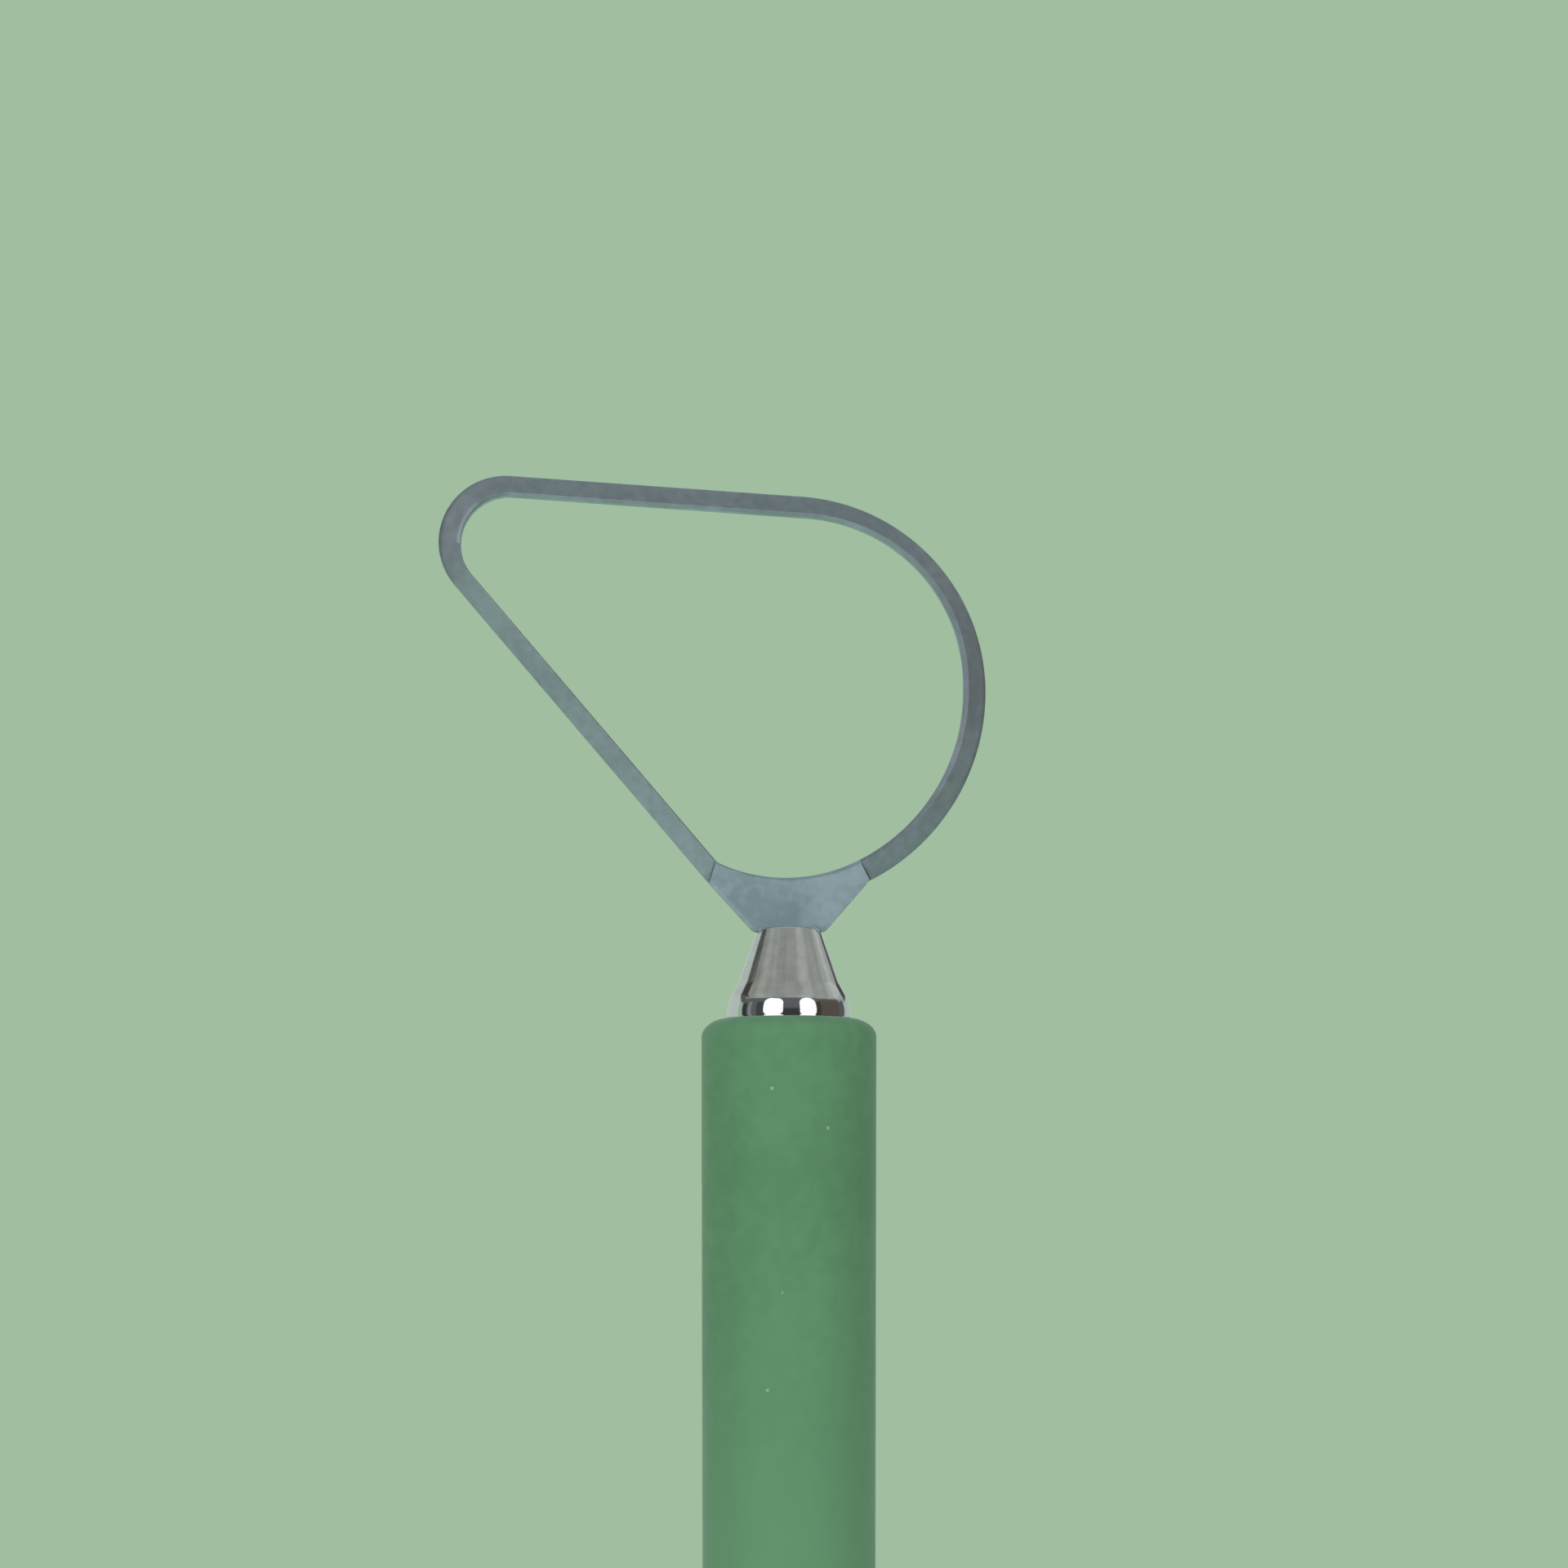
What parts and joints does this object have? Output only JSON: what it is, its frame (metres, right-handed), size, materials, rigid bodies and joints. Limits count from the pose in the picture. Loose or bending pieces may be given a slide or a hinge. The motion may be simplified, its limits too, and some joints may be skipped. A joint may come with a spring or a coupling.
{
  "type": "pottery trimming tool",
  "caption": "Loop trimming tool for clay: a sharp-edged steel loop with one round corner and one wide round side, in a chromed cone on a long soft sleeve handle.",
  "frame": {"origin": "centre of the flat face of the butt cap, on the handle's axis", "axes": "+Z along the handle's axis from the butt to the loop; the loop's plate lies in the XZ plane, its round corner towards -X, its ground front towards -Y"},
  "size_m": [0.0381, 0.012, 0.168],
  "materials": {
    "blade_steel": "hardened carbon steel plate, fine-blasted and blue-grey, loop ground to a bevel",
    "nose_chrome": "turned steel, chromed: satin on the cone, polished on the collar",
    "pin_steel": "drawn steel pin",
    "core_aluminium": "drawn aluminium tube",
    "sleeve_silicone": "sage green silicone, moulded, soft sheen",
    "cap_chrome": "turned steel, chromed and polished"
  },
  "bodies": {
    "root": {"trimming_blade": "blade_steel", "nose_cone": "nose_chrome", "tang_pin": "pin_steel", "handle_core": "core_aluminium", "grip_sleeve": "sleeve_silicone", "end_cap": "cap_chrome"}
  },
  "joints": []
}
